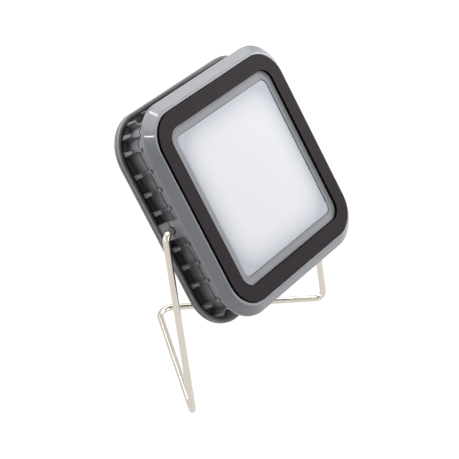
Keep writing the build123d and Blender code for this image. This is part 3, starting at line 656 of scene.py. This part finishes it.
# ---------------------------------------------------------------- stage and light
FLOOR_SHOWN = 1.0           # glow of the floor and the backdrop as they are seen
BOUNCE = 0.287              # glow of the floor as it lights the lamp
BOUNCE_DEPTH = 1.0          # millimetres from the seen floor down to the one that gives light
SURROUND = (0.85, 0.75)     # glow of the surroundings, low down and overhead
SURROUND_RISE = (0.45, 0.95)    # the z of the directions between which it changes
BACKDROP_RADIUS = 8.0       # metres, as is its bottom edge's height
BACKDROP_BOTTOM = -1.0
BACKDROP_SIDES = 96
SOFTBOXES = {               # place in metres, side in metres, power in watts
    "top": ((0.1, -0.1, 1.7), 1.2, 11.2),
    "top_right": ((1.2, 0.1, 1.4), 1.0, 6.9),
    "top_back": ((0.0, 1.4, 1.3), 1.0, 17.0),
    "front_low": ((0.5, -1.8, 0.15), 0.8, 10.2),
    "left": ((-1.8, 0.0, 0.5), 1.0, 3.7),
    "left_back": ((-1.3, 1.3, 0.8), 1.0, 11.7),
    "right": ((1.8, -0.5, 0.6), 0.8, 21.5),
    "corner_glint_high": ((0.68, 0.08, 1.84), 0.12, 1.3),
    "corner_glint_low": ((-0.61, -0.68, 1.76), 0.10, 1.2),
}


def glowing(name, color, strength):
    """A matt surface that glows evenly. A dark colour keeps the softboxes from showing on it."""
    finish = Finish(name, color, 0.9)
    tone = finish.spread(finish.noise(0.7, detail=2.0), 0.0, 1.0)
    finish.drive("Base Color", finish.blend_colors(tone, *shades(color, 0.02)))
    finish.socket("Specular IOR Level", 0.0)
    finish.socket("Emission Color", (1.0, 1.0, 1.0, 1.0)).socket("Emission Strength", strength)
    return finish.material


def stage_plane(name, height, material):
    """A square of the studio floor."""
    mesh = bpy.data.meshes.new(name)
    reach = BACKDROP_RADIUS
    mesh.from_pydata([(-reach, -reach, height), (reach, -reach, height), (reach, reach, height),
                      (-reach, reach, height)], [], [(0, 1, 2, 3)])
    mesh.materials.append(material)
    plane = bpy.data.objects.new(name, mesh)
    bpy.context.scene.collection.objects.link(plane)
    plane.visible_shadow = False
    return plane


def make_floor():
    """A white floor that is seen and reflected, and a dimmer one for the light it returns."""
    shown = stage_plane("floor", 0.0, glowing("floor_white", (0.10, 0.10, 0.10), FLOOR_SHOWN))
    shown.visible_diffuse = False
    returned = glowing("floor_bounce", (0.0, 0.0, 0.0), BOUNCE)
    bounce = stage_plane("floor_bounce", -BOUNCE_DEPTH * MM, returned)
    bounce.visible_camera = False
    bounce.visible_glossy = False


def make_backdrop():
    """A round white wall and ceiling behind everything, seen by the camera alone."""
    mesh = bpy.data.meshes.new("backdrop")
    sides = BACKDROP_SIDES
    angles = [tau * k / sides for k in range(sides)]
    vertices = [(BACKDROP_RADIUS * cos(angle), BACKDROP_RADIUS * sin(angle), height)
                for height in (BACKDROP_BOTTOM, BACKDROP_RADIUS) for angle in angles]
    walls = [(k, sides + k, sides + (k + 1) % sides, (k + 1) % sides) for k in range(sides)]
    ceiling = tuple(sides + k for k in range(sides))
    mesh.from_pydata(vertices, [], walls + [ceiling])
    mesh.materials.append(glowing("backdrop_white", (0.05, 0.05, 0.05), FLOOR_SHOWN))
    backdrop = bpy.data.objects.new("backdrop", mesh)
    bpy.context.scene.collection.objects.link(backdrop)
    for kind in ("diffuse", "glossy", "transmission", "shadow"):
        setattr(backdrop, f"visible_{kind}", False)


def soft_light(name, place, size, power):
    """One square softbox aimed at the lamp."""
    data = bpy.data.lights.new(name, "AREA")
    data.shape = "SQUARE"
    data.size = size
    data.energy = power
    light = bpy.data.objects.new(name, data)
    bpy.context.scene.collection.objects.link(light)
    light.location = place
    light.rotation_euler = (PIVOT - Vector(place)).to_track_quat("-Z", "Y").to_euler()


def make_studio():
    """Grey surroundings for reflections, and the softboxes."""
    world = bpy.data.worlds.new("world")
    bpy.context.scene.world = world
    world.use_nodes = True
    nodes, links = world.node_tree.nodes, world.node_tree.links
    direction = nodes.new("ShaderNodeTexCoord")
    parts = nodes.new("ShaderNodeSeparateXYZ")
    links.new(direction.outputs["Generated"], parts.inputs["Vector"])
    rise = nodes.new("ShaderNodeMapRange")
    limits = (*SURROUND_RISE, *SURROUND)
    for socket, value in zip(("From Min", "From Max", "To Min", "To Max"), limits):
        rise.inputs[socket].default_value = value
    links.new(parts.outputs["Z"], rise.inputs["Value"])
    nodes["Background"].inputs["Color"].default_value = (1.0, 1.0, 1.0, 1.0)
    links.new(rise.outputs["Result"], nodes["Background"].inputs["Strength"])
    world.cycles_visibility.diffuse = False
    for name, (place, size, power) in SOFTBOXES.items():
        soft_light(name, place, size, power)
    bpy.context.scene.view_settings.view_transform = "Standard"


make_floor()
make_backdrop()
make_studio()
